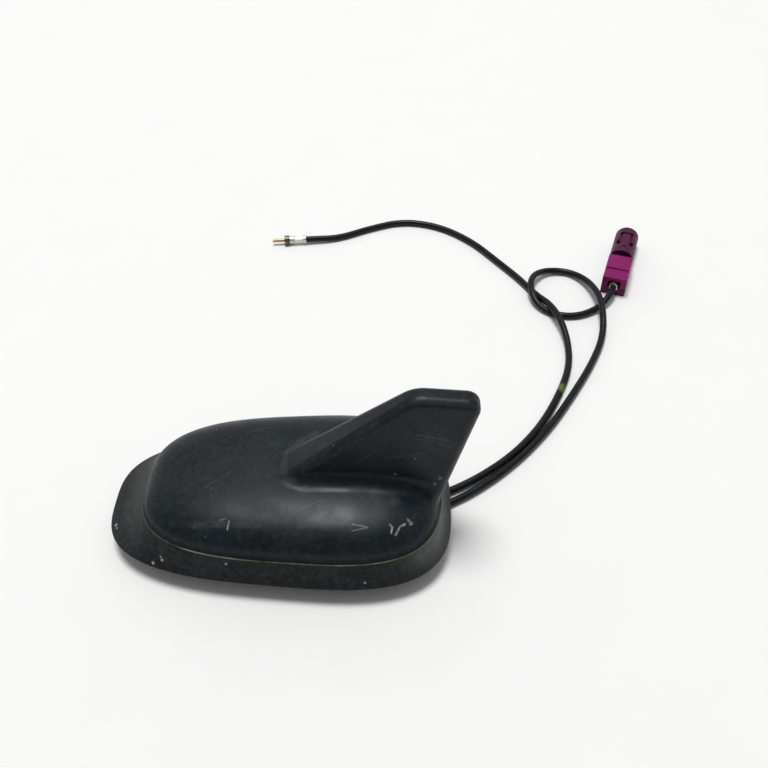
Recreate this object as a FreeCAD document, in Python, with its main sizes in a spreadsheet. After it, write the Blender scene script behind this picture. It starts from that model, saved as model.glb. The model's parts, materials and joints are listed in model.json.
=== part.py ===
import FreeCAD, Part
import Sketcher
import math
import os
import re

V = FreeCAD.Vector

# Roof antenna: a moulded cover with a fin on a flared rubber skirt, over a cast base with a hollow stud.
# Two thin coaxial leads leave through a slot in the stud and lie on the table behind it.
# X runs from the nose to the tail, Y across, Z up from the table that the stud stands on.

doc = FreeCAD.newDocument("RoofAntenna")
sheet = doc.addObject("Spreadsheet::Sheet", "Sizes")

SIZES = {
    # skirt, from the edge that lies on the roof up to the seam with the cover
    "stand_height": 8.0,
    "skirt_front": 70.0,
    "skirt_rear": 62.0,
    "skirt_half_width": 37.45,
    "skirt_taper": 0.14,
    "skirt_waist": 0.62,
    "skirt_wall": 2.8,
    "skirt_hollow": 7.7,
    "outline_power": 3.05,
    "seam_front_inset": 14.1,
    "seam_rear_inset": 4.2,
    "seam_side_inset": 2.85,
    "seam_taper": 0.102,
    "ledge_thickness": 2.8,
    "ledge_width": 6.0,
    # cover with its fin
    "cover_reveal": 0.4,
    "cover_wall": 2.2,
    "dome_rise": 13.3,
    "dome_centre": 12.0,
    "dome_side_power": 3.4,
    "dome_top_power": 2.0,
    "fin_rise": 52.6,
    "fin_tail_reach": 71.3,
    "fin_tail_lean": 16.0,
    "fin_lead_angle": 39.0,
    "fin_root": -2.3,
    "fin_root_half": 8.6,
    "fin_top_half": 4.3,
    "fin_top_fall": 2.0,
    "fin_edge_radius": 3.4,
    "fin_brow_radius": 12.0,
    "fin_tail_radius": 5.0,
    "fin_blend": 6.0,
    "boss_radius": 3.2,
    "boss_front": -18.0,
    "boss_rear": 30.0,
    "boss_inset": 13.75,
    # base with its stud
    "plate_gap": 0.3,
    "plate_thickness": 3.0,
    "seal_thickness": 2.0,
    "seal_band": 8.0,
    "rim_width": 2.0,
    "stud_centre": 4.0,
    "stud_radius": 10.0,
    "stud_bore_radius": 7.2,
    "slot_width": 8.4,
    "slot_height": 4.7,
    "standoff_radius": 3.2,
    "standoff_height": 3.0,
    # gland that the leads come out of
    "gland_clearance": 0.2,
    "gland_flange": 1.8,
    "gland_spout": 1.5,
    "lead_spacing": 3.6,
    "lead_radius": 1.6,
    "lead_clearance": 0.1,
    "lead_straight": 15.5,
    "lead_bend_share": 0.45,
    # boards and what is on them
    "board_front": 38.0,
    "board_rear": 48.0,
    "board_gap": 0.8,
    "board_thickness": 1.6,
    "board_corner": 4.0,
    "board_hole_margin": 4.2,
    "patch_side": 25.0,
    "patch_thickness": 4.0,
    "patch_gap": 0.8,
    "feed_offset": 2.4,
    "feed_radius": 0.6,
    "feed_stub": 0.8,
    "shield_length": 24.0,
    "shield_width": 11.0,
    "shield_height": 3.4,
    "shield_wall": 0.3,
    "shield_start": 2.0,
    "shield_margin": 1.7,
    "fin_board_thickness": 1.2,
    "fin_board_front": -2.0,
    "fin_board_rear": 45.0,
    "fin_board_clearance": 1.0,
    "clip_length": 10.0,
    "clip_height": 5.0,
    "clip_cheek": 2.6,
    "clip_clearance": 0.1,
    # screws
    "screw_clearance": 0.05,
    "pilot_relief": 1.0,
    "board_screw_radius": 1.1,
    "board_screw_depth": 4.0,
    "board_screw_head": 2.2,
    "board_screw_head_height": 1.5,
    "cover_screw_radius": 1.2,
    "cover_screw_depth": 4.5,
    "cover_screw_head": 2.7,
    "cover_screw_head_height": 1.4,
    "cover_screw_sink": 1.7,
    # coded plug of the phone lead, along its own axis from the open rear
    "plug_length": 46.0,
    "plug_width": 12.0,
    "plug_height": 11.0,
    "plug_axis": 5.2,
    "plug_block": 19.0,
    "plug_waist": 4.4,
    "plug_waist_height": 8.2,
    "plug_tray": 4.6,
    "plug_edge": 0.8,
    "plug_crown": 5.4,
    "plug_nose": 5.0,
    "plug_nose_edge": 1.8,
    "plug_socket_radius": 3.9,
    "plug_socket_depth": 9.0,
    "lock_height": 10.6,
    "lock_step": 11.0,
    "lock_step_drop": 0.5,
    "lock_channel": 3.1,
    "latch_setback": 5.6,
    "latch_length": 10.5,
    "latch_half_width": 2.0,
    "latch_slot": 1.2,
    "latch_depth": 1.8,
    "latch_pocket": 3.4,
    "latch_pocket_width": 2.2,
    "latch_mark": 1.1,
    "latch_mark_gap": 1.9,
    "latch_mark_depth": 0.9,
    "contact_radius": 2.5,
    "contact_bore": 1.7,
    "contact_start": 9.0,
    "contact_overhang": 4.0,
    "insulator_setback": 2.0,
    "centre_radius": 0.5,
    "ferrule_radius": 2.3,
    "ferrule_start": -1.0,
    "ferrule_collar": 2.1,
    # bare terminal of the satellite lead
    "terminal_ferrule": 9.0,
    "terminal_ferrule_radius": 2.1,
    "terminal_collar": 2.6,
    "terminal_collar_radius": 2.5,
    "terminal_pin": 6.4,
    "terminal_pin_radius": 0.9,
}

for row, (alias, number) in enumerate(SIZES.items(), start=1):
    sheet.set("A%d" % row, alias)
    sheet.set("B%d" % row, str(number))
    sheet.setAlias("B%d" % row, alias)
doc.recompute()

# Levels that several pieces share, as expressions on the sheet
LEDGE = "(stand_height + skirt_hollow)"
SEAM = "(stand_height + skirt_hollow + ledge_thickness)"
CROWN = "(%s + dome_rise)" % SEAM
PLATE = "(stand_height + seal_thickness)"
PLATE_TOP = "(%s + plate_thickness)" % PLATE
BOARD = "(%s + standoff_height)" % PLATE_TOP
BOARD_TOP = "(%s + board_thickness)" % BOARD
SPOUT_FACE = "(stud_centre + stud_radius + gland_spout)"
LEAD_HEIGHT = "(lead_radius + lead_clearance)"
SCREW_HOLE = "board_screw_radius + screw_clearance"
COVER_HOLE = "cover_screw_radius + screw_clearance"
BOSS_SIDE = "(skirt_half_width - boss_inset)"
BOARD_SIDE = "(%s - boss_radius - board_gap)" % BOSS_SIDE
PATCH_FRONT = "(board_hole_margin - board_front + board_screw_head + patch_gap)"
FEED = "(%s + patch_side / 2 + feed_offset)" % PATCH_FRONT
SHIELD_SIDE = "(%s - shield_margin - shield_width)" % BOARD_SIDE
FIN_BOARD_INSET = "(cover_wall + fin_board_clearance)"

# Routes of the two leads over the table, between the gland and the last straight run.
# The third number is the lift off the table there, in lead diameters, where one lead crosses another.
PHONE_ROUTE = [
    (47.5, 0.4, 0.0), (63.5, 5.9, 0.0), (79.0, 16.1, 0.0), (94.0, 30.3, 0.0), (108.0, 47.8, 0.0),
    (120.0, 67.3, 0.0), (130.0, 88.8, 0.0), (137.0, 107.8, 0.06), (140.4, 122.3, 1.35), (139.8, 136.3, 1.35),
    (135.2, 148.3, 0.47), (126.2, 156.2, 0.0), (115.6, 156.6, 0.22), (108.2, 149.5, 1.13),
    (106.4, 139.5, 1.13),
    (109.6, 129.9, 0.16), (117.6, 123.5, 0.0), (128.4, 122.7, 0.0), (139.5, 128.5, 0.09),
]
PHONE_END = [(146.6, 136.5), (148.15, 141.2)]
GPS_ROUTE = [
    (47.5, 5.9, 0.0), (63.5, 12.8, 0.0), (78.0, 22.2, 0.0), (92.0, 34.8, 0.0), (104.0, 50.8, 0.0),
    (113.0, 68.3, 0.0), (118.8, 85.3, 0.0), (120.6, 101.8, 0.03), (119.8, 115.8, 1.13), (116.2, 128.8, 1.13),
    (109.6, 138.8, 0.03), (101.8, 151.8, 0.0), (92.0, 166.8, 0.0), (78.5, 183.8, 0.0), (61.0, 198.3, 0.0),
    (41.0, 203.1, 0.0), (23.5, 195.8, 0.0), (8.0, 187.1, 0.0),
]
GPS_END = [(-4.0, 184.9), (-10.4, 184.3)]

# How closely an edge is picked by its place and its direction
TOUCH = 0.005
CLEAR = 0.1
ALONG = 0.9

# Slopes of the dome's contours, in degrees from the seam to the crown
DOME_SLOPES = (0, 14, 30, 48, 66, 80, 87)


def size(expression):
    """The value of an expression on the sheet's aliases."""
    return float(sheet.evalExpression(sized(expression)))


def sized(expression):
    """The same expression with each alias named in full, as the document's objects need it."""

    def full(word):
        return ("Sizes." if word.group() in SIZES else "") + word.group()

    return re.sub(r"[a-z_]+", full, expression)


def bind(thing, **expressions):
    """Binds properties to the sheet; two underscores in a name stand for a full stop."""
    for name, expression in expressions.items():
        thing.setExpression(name.replace("__", "."), sized(expression))
    return thing


def put(thing, x, y, z):
    return bind(thing, Placement__Base__x=x, Placement__Base__y=y, Placement__Base__z=z)


# Building blocks


def box(name, x, y, z, length, width, height):
    solid = doc.addObject("Part::Box", name)
    bind(solid, Length=length, Width=width, Height=height)
    return put(solid, x, y, z)


def cylinder(name, x, y, z, radius, height):
    solid = doc.addObject("Part::Cylinder", name)
    bind(solid, Radius=radius, Height=height)
    return put(solid, x, y, z)


def rod(name, start, radius, length, z="0", kind="Part::Cylinder"):
    """A cylinder or a six-sided prism that lies along X."""
    solid = doc.addObject(kind, name)
    solid.Placement.Rotation = FreeCAD.Rotation(V(0, 1, 0), 90)
    bind(solid, Height=length)
    if kind == "Part::Prism":
        solid.Polygon = 6
        bind(solid, Circumradius=radius)
    else:
        bind(solid, Radius=radius)
    return put(solid, start, "0", z)


def cut(name, base, *tools):
    result = doc.addObject("Part::Cut", name)
    result.Base = base
    result.Tool = tools[0] if len(tools) == 1 else fuse(name + "Tools", *tools)
    return result


def common(name, base, tool):
    result = doc.addObject("Part::Common", name)
    result.Base = base
    result.Tool = tool
    return result


def fuse(name, *shapes):
    result = doc.addObject("Part::MultiFuse", name)
    result.Shapes = list(shapes)
    result.Refine = True
    return result


def rounded(name, base, radius, chosen):
    """A fillet on the edges for which chosen(middle point, direction there) is true."""
    doc.recompute()
    result = doc.addObject("Part::Fillet", name)
    result.Base = base
    edges = []
    for number, edge in enumerate(base.Shape.Edges, start=1):
        middle = (edge.FirstParameter + edge.LastParameter) / 2
        if chosen(edge.valueAt(middle), edge.tangentAt(middle)):
            edges.append((number, size(radius), size(radius)))
    result.Edges = edges
    return result


def near(corner):
    """Picks the edges that pass through a corner of a side view."""
    x, z = (size(part) for part in corner)
    return lambda point, way: math.hypot(point.x - x, point.z - z) < CLEAR


def lengthwise(above, below):
    """Picks the edges along X between two levels."""
    return lambda point, way: abs(way.x) > ALONG and above < point.z < below


def ring(name, x, z, outer, inner, height):
    return cut(
        name,
        cylinder(name + "Outside", x, "0", z, outer, height),
        cylinder(name + "Inside", x, "0", z, inner, height),
    )


def oval(name, front, rear, half_width, taper, z):
    """A closed outline: a blunt oval, wider at the tail, as one smooth curve at height z."""
    power = size("outline_power")
    count = 40
    middle = (rear - front) / 2
    reach = (rear + front) / 2
    points = []
    for step in range(count):
        angle = 2 * math.pi * step / count
        cosine = math.cos(angle)
        sine = math.sin(angle)
        share = (abs(cosine) ** power + abs(sine) ** power) ** (-1 / power)
        width = half_width * (1 + taper * share * cosine)
        points.append(V(middle + share * cosine * reach, share * sine * width, z))
    curve = Part.BSplineCurve()
    curve.interpolate(Points=points, PeriodicFlag=True)
    wire = doc.addObject("Part::Feature", name)
    wire.Shape = Part.Wire([curve.toShape()])
    return wire


def loft(name, sections):
    result = doc.addObject("Part::Loft", name)
    result.Sections = sections
    result.Solid = True
    return result


def extrude(name, outline, height):
    result = doc.addObject("Part::Extrusion", name)
    result.Base = outline
    result.DirMode = "Custom"
    result.Dir = V(0, 0, 1)
    result.Solid = True
    return bind(result, LengthFwd=height)


def skirt_oval(name, share, inset, z):
    """An outline of the skirt: share 0 is its lower edge, 1 its top at the seam."""
    return oval(
        name,
        size("skirt_front") - share * size("seam_front_inset") - inset,
        size("skirt_rear") - share * size("seam_rear_inset") - inset,
        size("skirt_half_width") - share * size("seam_side_inset") - inset,
        size("skirt_taper") + share * (size("seam_taper") - size("skirt_taper")),
        z,
    )


def side_profile(body, name, corners):
    """A closed sketch in the middle plane, whose corners are pairs of expressions."""
    sketch = body.newObject("Sketcher::SketchObject", name)
    plane = next(part for part in body.Origin.OriginFeatures if part.Role == "XZ_Plane")
    sketch.AttachmentSupport = [(plane, "")]
    sketch.MapMode = "FlatFace"
    points = [V(size(x), size(z), 0) for x, z in corners]
    for first, second in zip(points, points[1:] + points[:1]):
        sketch.addGeometry(Part.LineSegment(first, second), False)
    for line, (x, z) in enumerate(corners):
        following = (line + 1) % len(corners)
        sketch.addConstraint(Sketcher.Constraint("Coincident", line, 2, following, 1))
        for kind, expression in (("DistanceX", x), ("DistanceY", z)):
            number = sketch.addConstraint(Sketcher.Constraint(kind, -1, 1, line, 1, size(expression)))
            sketch.setExpression("Constraints[%d]" % number, sized(expression))
    return sketch


def slab(name, corners, thickness):
    """A plate of the given side view, half of its thickness on each side of the middle plane."""
    body = doc.addObject("PartDesign::Body", name)
    pad = body.newObject("PartDesign::Pad", name + "Pad")
    pad.Profile = side_profile(body, name + "Side", corners)
    pad.SideType = "Symmetric"
    bind(pad, Length=thickness)
    return body


# Skirt


def make_skirt():
    low = size("stand_height")
    under = size(LEDGE)
    high = size(SEAM)
    middle = (low + high) / 2
    waist = size("skirt_waist")
    wall = size("skirt_wall")
    outside = loft(
        "SkirtOutside",
        [
            skirt_oval("SkirtEdge", 0, 0, low),
            skirt_oval("SkirtWaist", waist, 0, middle),
            skirt_oval("SkirtTop", 1, 0, high),
        ],
    )
    ledge_share = waist + (1 - waist) * (under - middle) / (high - middle)
    inside = loft(
        "SkirtInside",
        [
            skirt_oval("SkirtInsideEdge", 0, wall, low),
            skirt_oval("SkirtInsideWaist", waist, wall, middle),
            skirt_oval("SkirtInsideTop", ledge_share, wall, under),
        ],
    )
    opening = extrude(
        "SkirtOpening",
        skirt_oval("SkirtOpeningEdge", 1, size("ledge_width"), low),
        "skirt_hollow + ledge_thickness",
    )
    return cut("SkirtGasket", outside, inside, opening)


# Cover


def dome_reach(inset):
    front = size("skirt_front") - size("seam_front_inset") - inset
    rear = size("skirt_rear") - size("seam_rear_inset") - inset
    half_width = size("skirt_half_width") - size("seam_side_inset") - inset
    return front, rear, half_width


def make_dome(name, inset, rise):
    """A crowned dome whose contours are the seam's outline, shrinking towards a point below the fin."""
    front, rear, half_width = dome_reach(inset)
    centre = size("dome_centre")
    sections = []
    for step, degrees in enumerate(DOME_SLOPES):
        angle = math.radians(degrees)
        share = math.cos(angle) ** (2 / size("dome_side_power"))
        height = rise * math.sin(angle) ** (2 / size("dome_top_power"))
        sections.append(
            oval(
                "%sContour%d" % (name, step),
                (front + centre) * share - centre,
                (rear - centre) * share + centre,
                half_width * share,
                size("seam_taper"),
                size(SEAM) + height,
            )
        )
    return loft(name, sections)


def dome_rise_at(x, y, inset):
    """Height of the dome above the seam at a point, found by halving the range of its contours."""
    front, rear, half_width = dome_reach(inset)
    centre = size("dome_centre")
    power = size("outline_power")
    low = 0.0
    high = 1.0
    for step in range(30):
        share = (low + high) / 2
        nose = (front + centre) * share - centre
        tail = (rear - centre) * share + centre
        along = (x - (tail - nose) / 2) / ((tail + nose) / 2)
        across = y / (half_width * share * (1 + size("seam_taper") * along))
        if abs(along) ** power + abs(across) ** power > 1:
            low = share
        else:
            high = share
    return size("dome_rise") * (1 - high ** size("dome_side_power")) ** (1 / size("dome_top_power"))


def fin_corners(inset, foot):
    """Corners of the fin's side view, drawn in by inset, as expressions."""
    lead = "(fin_lead_angle * 1 deg)"
    lean = "(fin_tail_lean * 1 deg)"
    top = "(%s + fin_rise - %s)" % (SEAM, inset)
    tail_top = "(fin_tail_reach - %s / cos(%s))" % (inset, lean)
    tail_z = "(%s - fin_top_fall)" % top
    lead_x = "fin_root + (%%s - %s) / tan(%s) + %s / sin(%s)" % (CROWN, lead, inset, lead)
    tail_x = "%s - (%s - %%s) * tan(%s)" % (tail_top, tail_z, lean)
    return [(lead_x % foot, foot), (lead_x % top, top), (tail_top, tail_z), (tail_x % foot, foot)]


def make_fin(name, inset, foot):
    """A fin with a sloping front, a leaning tail and sides that close in towards the top."""
    corners = fin_corners(inset, foot)
    plate = slab(name + "Slab", corners, "4 * fin_root_half")
    plate = rounded(name + "Brow", plate, "fin_brow_radius - %s" % inset, near(corners[1]))
    plate = rounded(name + "Tail", plate, "fin_tail_radius - %s" % inset, near(corners[2]))
    wedge = doc.addObject("Part::Wedge", name + "Wedge")
    wedge.Placement.Rotation = FreeCAD.Rotation(V(1, 0, 0), 90)
    for low, high, half in (("Zmin", "Zmax", "fin_root_half"), ("Z2min", "Z2max", "fin_top_half")):
        bind(wedge, **{low: "%s - %s" % (inset, half), high: "%s - %s" % (half, inset)})
    for low, high in (("Xmin", "Xmax"), ("X2min", "X2max")):
        bind(wedge, **{low: "-skirt_front", high: "2 * fin_tail_reach"})
    bind(wedge, Ymin=SEAM, Ymax=SEAM + " + fin_rise")
    return common(name, plate, wedge)


def boss_places():
    for x in ("boss_front", "boss_rear"):
        for side, y in (("Left", BOSS_SIDE), ("Right", "-" + BOSS_SIDE)):
            yield x.title().replace("_", "") + side, x, y


def outward(place):
    """The far side of a boss at this place along or across the cover."""
    return place + math.copysign(size("boss_radius"), place)


def make_cover():
    floor = size(SEAM)
    sharp = make_fin("FinOutside", "0", SEAM)
    fin = rounded(
        "FinRounded",
        sharp,
        "fin_edge_radius",
        lambda point, way: abs(point.y) > CLEAR and point.z > floor + CLEAR,
    )
    dome = make_dome("DomeOutside", size("cover_reveal"), size("dome_rise"))
    whole = fuse("CoverSharp", dome, fin)
    doc.recompute()
    dome_skin = dome.Shape.Shells[0]
    fin_skin = fin.Shape.Shells[0]

    def at_root(point, way):
        spot = Part.Vertex(point)
        return max(dome_skin.distToShape(spot)[0], fin_skin.distToShape(spot)[0]) < TOUCH

    outside = rounded("CoverOutside", whole, "fin_blend", at_root)
    wall = size("cover_wall")
    hollow = fuse(
        "CoverHollow",
        make_dome("DomeInside", size("cover_reveal") + wall, size("dome_rise") - wall),
        make_fin("FinInside", "cover_wall", SEAM),
    )
    bosses = []
    pilots = []
    for name, x, y in boss_places():
        rise = dome_rise_at(outward(size(x)), outward(size(y)), size("cover_reveal")) - wall / 2
        height = "%s + %r - %s" % (SEAM, rise, PLATE_TOP)
        bosses.append(cylinder("Boss" + name, x, y, PLATE_TOP, "boss_radius", height))
        depth = "cover_screw_depth + pilot_relief"
        pilots.append(cylinder("Pilot" + name, x, y, PLATE_TOP, COVER_HOLE, depth))
    return cut("RadomeCover", fuse("CoverBossed", cut("CoverShell", outside, hollow), *bosses), *pilots)


# Base plate with its hollow stud, the seal on the roof and the gland in the bore


def board_corners():
    for end, x in (("Front", "board_hole_margin - board_front"), ("Rear", "board_rear - board_hole_margin")):
        for side, sign in (("Left", ""), ("Right", "-")):
            yield end + side, x, sign + "(%s - board_hole_margin)" % BOARD_SIDE


def make_base():
    edge = size("skirt_wall") + size("plate_gap")
    plate = extrude("PlateBlank", skirt_oval("PlateEdge", 1, edge, size(PLATE)), "plate_thickness")
    rim_height = "%s - %s" % (LEDGE, PLATE)
    rim = cut(
        "PlateRim",
        extrude("RimOutside", skirt_oval("RimOuter", 1, edge, size(PLATE)), rim_height),
        extrude("RimInside", skirt_oval("RimInner", 1, edge + size("rim_width"), size(PLATE)), rim_height),
    )
    stud = cylinder("Stud", "stud_centre", "0", "0", "stud_radius", PLATE)
    posts = []
    holes = []
    for name, x, y in board_corners():
        height = "plate_thickness + standoff_height"
        posts.append(cylinder("Standoff" + name, x, y, PLATE, "standoff_radius", height))
        depth = "board_screw_depth + pilot_relief"
        bottom = "%s - (%s)" % (BOARD, depth)
        holes.append(cylinder("StandoffHole" + name, x, y, bottom, SCREW_HOLE, depth))
    for name, x, y in boss_places():
        holes.append(cylinder("ScrewHole" + name, x, y, PLATE, COVER_HOLE, "plate_thickness"))
        radius = "cover_screw_head + screw_clearance"
        holes.append(cylinder("ScrewSink" + name, x, y, PLATE, radius, "cover_screw_sink"))
    bore = cylinder("StudBore", "stud_centre", "0", "0", "stud_bore_radius", PLATE_TOP)
    slot = box(
        "StudSlot",
        "stud_centre",
        "-slot_width / 2",
        "0",
        "2 * stud_radius",
        "slot_width",
        "slot_height",
    )
    solid = fuse("PlateSolid", plate, rim, stud, *posts)
    return cut("BasePlate", solid, bore, slot, *holes)


def make_roof_seal():
    inner = "stud_radius + gland_clearance"
    return ring("RoofSeal", "stud_centre", "stand_height", inner + " + seal_band", inner, "seal_thickness")


def make_gland():
    barrel = cylinder(
        "GlandBarrel",
        "stud_centre",
        "0",
        "2 * gland_clearance",
        "stud_bore_radius - gland_clearance",
        "%s - 2 * gland_clearance" % BOARD,
    )
    flange = cylinder(
        "GlandFlange",
        "stud_centre",
        "0",
        PLATE_TOP,
        "stud_bore_radius + gland_flange",
        "standoff_height",
    )
    spout = box(
        "GlandSpout",
        "stud_centre",
        "gland_clearance - slot_width / 2",
        "gland_clearance",
        "stud_radius + gland_spout",
        "slot_width - 2 * gland_clearance",
        "slot_height - 2 * gland_clearance",
    )
    return fuse("CableGland", barrel, flange, spout)


# Boards and what is on them


def make_main_board():
    blank = box(
        "BoardBlank",
        "-board_front",
        "-" + BOARD_SIDE,
        BOARD,
        "board_front + board_rear",
        "2 * " + BOARD_SIDE,
        "board_thickness",
    )
    board = rounded("BoardRounded", blank, "board_corner", lambda point, way: abs(way.z) > ALONG)
    holes = []
    for name, x, y in board_corners():
        holes.append(cylinder("BoardHole" + name, x, y, BOARD, SCREW_HOLE, "board_thickness"))
    radius = "feed_radius + screw_clearance"
    holes.append(cylinder("BoardFeedHole", FEED, "0", BOARD, radius, "board_thickness"))
    return cut("MainBoard", board, *holes)


def make_patch():
    block = box(
        "PatchBlank",
        PATCH_FRONT,
        "-patch_side / 2",
        BOARD_TOP,
        "patch_side",
        "patch_side",
        "patch_thickness",
    )
    hole = cylinder(
        "PatchHole",
        FEED,
        "0",
        BOARD_TOP,
        "feed_radius + screw_clearance",
        "patch_thickness",
    )
    return cut("GpsPatch", block, hole)


def make_feed_pin():
    top = "%s + patch_thickness" % BOARD_TOP
    shank = cylinder(
        "FeedShank",
        FEED,
        "0",
        BOARD + " - feed_stub",
        "feed_radius",
        "feed_stub + board_thickness + patch_thickness",
    )
    head = doc.addObject("Part::Cone", "FeedHead")
    bind(head, Radius1="2 * feed_radius", Radius2="feed_radius / 2", Height="feed_radius")
    put(head, FEED, "0", top)
    return fuse("PatchFeedPin", shank, head)


def make_shield():
    floor = size(BOARD_TOP)
    can = box(
        "ShieldBlank",
        "shield_start",
        SHIELD_SIDE,
        BOARD_TOP,
        "shield_length",
        "shield_width",
        "shield_height",
    )
    can = rounded("ShieldRounded", can, "2 * shield_wall", lambda point, way: point.z > floor + CLEAR)
    hollow = box(
        "ShieldHollow",
        "shield_start + shield_wall",
        SHIELD_SIDE + " + shield_wall",
        BOARD_TOP,
        "shield_length - 2 * shield_wall",
        "shield_width - 2 * shield_wall",
        "shield_height - shield_wall",
    )
    return cut("AmplifierShield", can, hollow)


def make_fin_board():
    lead_foot, lead_top, tail_top = fin_corners(FIN_BOARD_INSET, BOARD_TOP)[:3]
    rise = "(fin_board_front - (%s)) * tan(fin_lead_angle * 1 deg)" % lead_foot[0]
    corners = [
        ("fin_board_front", BOARD_TOP),
        ("fin_board_front", "%s + %s" % (BOARD_TOP, rise)),
        lead_top,
        tail_top,
        ("fin_board_rear", BOARD_TOP),
    ]
    board = slab("FinBoardSlab", corners, "fin_board_thickness")
    board = rounded("FinBoardBrow", board, "fin_brow_radius - " + FIN_BOARD_INSET, near(lead_top))
    return rounded("FinBoard", board, "fin_tail_radius - " + FIN_BOARD_INSET, near(tail_top))


def make_clip():
    """A saddle that grips the foot of the fin board, closed across its front edge."""
    half = "(fin_board_thickness / 2 + clip_clearance + clip_cheek)"
    start = "fin_board_front - clip_clearance - clip_cheek"
    saddle = box("ClipBlank", start, "-" + half, BOARD_TOP, "clip_length", "2 * " + half, "clip_height")
    floor = size(BOARD_TOP)
    saddle = rounded("ClipRounded", saddle, "clip_cheek / 3", lambda point, way: point.z > floor + CLEAR)
    slot = box(
        "ClipSlot",
        "fin_board_front - clip_clearance",
        "-fin_board_thickness / 2 - clip_clearance",
        BOARD_TOP,
        "clip_length",
        "fin_board_thickness + 2 * clip_clearance",
        "clip_height",
    )
    return cut("FinBoardClip", saddle, slot)


def make_board_screws():
    screws = []
    for name, x, y in board_corners():
        bottom = "%s - board_screw_depth" % BOARD
        reach = "board_screw_depth + board_thickness"
        shank = cylinder("BoardShank" + name, x, y, bottom, "board_screw_radius", reach)
        head = cylinder("BoardHead" + name, x, y, BOARD_TOP, "board_screw_head", "board_screw_head_height")
        screws.append(fuse("BoardScrew" + name, shank, head))
    return screws


def make_cover_screws():
    screws = []
    for name, x, y in boss_places():
        seat = "%s + cover_screw_sink" % PLATE
        reach = "plate_thickness - cover_screw_sink + cover_screw_depth"
        shank = cylinder("CoverShank" + name, x, y, seat, "cover_screw_radius", reach)
        foot = "%s - cover_screw_head_height" % seat
        head = cylinder("CoverHead" + name, x, y, foot, "cover_screw_head", "cover_screw_head_height")
        screws.append(fuse("CoverScrew" + name, shank, head))
    return screws


def group(name, solids):
    """Equal fasteners kept as one sub-part of separate solids."""
    result = doc.addObject("Part::Compound", name)
    result.Links = solids
    return result


# Leads


def lead_path(name, points):
    """Straight runs joined by tangent arcs, each as large as the shorter of its two runs allows."""
    edges = []
    start = points[0]
    radii = []
    for before, corner, after in zip(points, points[1:], points[2:]):
        arriving = (corner - before).normalize()
        leaving = (after - corner).normalize()
        turn = arriving.getAngle(leaving)
        trim = size("lead_bend_share") * min((corner - before).Length, (after - corner).Length)
        radius = trim / math.tan(turn / 2)
        radii.append(radius)
        first = corner - arriving * trim
        last = corner + leaving * trim
        inward = (leaving - arriving).normalize()
        middle = corner + inward * (radius / math.cos(turn / 2) - radius)
        edges.append(Part.LineSegment(start, first).toShape())
        edges.append(Part.Arc(first, middle, last).toShape())
        start = last
    edges.append(Part.LineSegment(start, points[-1]).toShape())
    path = doc.addObject("Part::Feature", name)
    path.Shape = Part.Wire(edges)
    print(name, "length %.1f, radii from %.1f to %.1f" % (path.Shape.Length, min(radii), max(radii)))
    return path


def lead_points(side, route, ends, end_height):
    """Corners of a lead's route: a straight run out of the gland, the route, and a level run at its end."""
    radius = size("lead_radius")
    start = V(size(SPOUT_FACE), side * size("lead_spacing") / 2, size(LEAD_HEIGHT))
    points = [start, start + V(size("lead_straight"), 0, 0)]
    points += [V(x, y, size(LEAD_HEIGHT) + 2 * radius * lift) for x, y, lift in route]
    return points + [V(x, y, size(end_height)) for x, y in ends]


def make_lead(name, points):
    start = points[0]
    path = lead_path(name + "Path", points)
    section = doc.addObject("Part::Circle", name + "Section")
    section.Placement = FreeCAD.Placement(start, FreeCAD.Rotation(V(0, 0, 1), points[1] - start))
    bind(section, Radius="lead_radius")
    tube = doc.addObject("Part::Sweep", name)
    tube.Sections = [section]
    tube.Spine = (path, ["Edge%d" % (number + 1) for number in range(len(path.Shape.Edges))])
    tube.Solid = True
    tube.Transition = "Transformed"
    doc.recompute()
    expected = path.Shape.Length * math.pi * size("lead_radius") ** 2
    print(name, "volume over section times length: %.4f" % (tube.Shape.Volume / expected))
    return tube


# Coded plug of the phone lead, drawn along X from its open rear


def make_nose_limit(start):
    """What the plug's barrel may fill: a block, and in front of it a round nose with a soft rim."""
    nose_start = "plug_length - plug_nose"
    front = size("plug_length")
    block = box(
        "NoseBlock",
        start,
        "-plug_width",
        "-plug_height",
        "%s - (%s)" % (nose_start, start),
        "2 * plug_width",
        "3 * plug_height",
    )
    nose = rod("NoseRod", nose_start, "plug_width / 2", "plug_nose", "plug_axis")
    nose = rounded("NoseRodRounded", nose, "plug_nose_edge", lambda point, way: point.x > front - CLEAR)
    return fuse("NoseLimit", block, nose)


def make_latch_cuts():
    """Slots, a gap and pockets round a spring tongue in the barrel's crown, and a mark behind it."""
    end = "plug_length - latch_setback"
    start = "%s - latch_length" % end
    floor = "plug_height - latch_depth"
    cuts = []
    for name, slot, pocket in (
        ("Left", "latch_half_width", "latch_half_width"),
        ("Right", "-latch_half_width - latch_slot", "-latch_half_width - latch_pocket_width"),
    ):
        cuts.append(box("LatchSlot" + name, start, slot, floor, "latch_length", "latch_slot", "latch_depth"))
        cuts.append(
            box(
                "LatchPocket" + name,
                start,
                pocket,
                "plug_height - 2 * latch_depth",
                "latch_pocket",
                "latch_pocket_width",
                "2 * latch_depth",
            )
        )
    cuts.append(
        box(
            "LatchGap",
            end + " - latch_slot",
            "-latch_half_width - latch_slot",
            floor,
            "latch_slot",
            "2 * latch_half_width + 2 * latch_slot",
            "latch_depth",
        )
    )
    mark = doc.addObject("Part::Prism", "LatchMark")
    mark.Polygon = 3
    bind(mark, Circumradius="latch_mark", Height="latch_mark_depth")
    put(mark, start + " - latch_mark_gap", "0", "plug_height - latch_mark_depth")
    return cuts + [mark]


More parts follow.
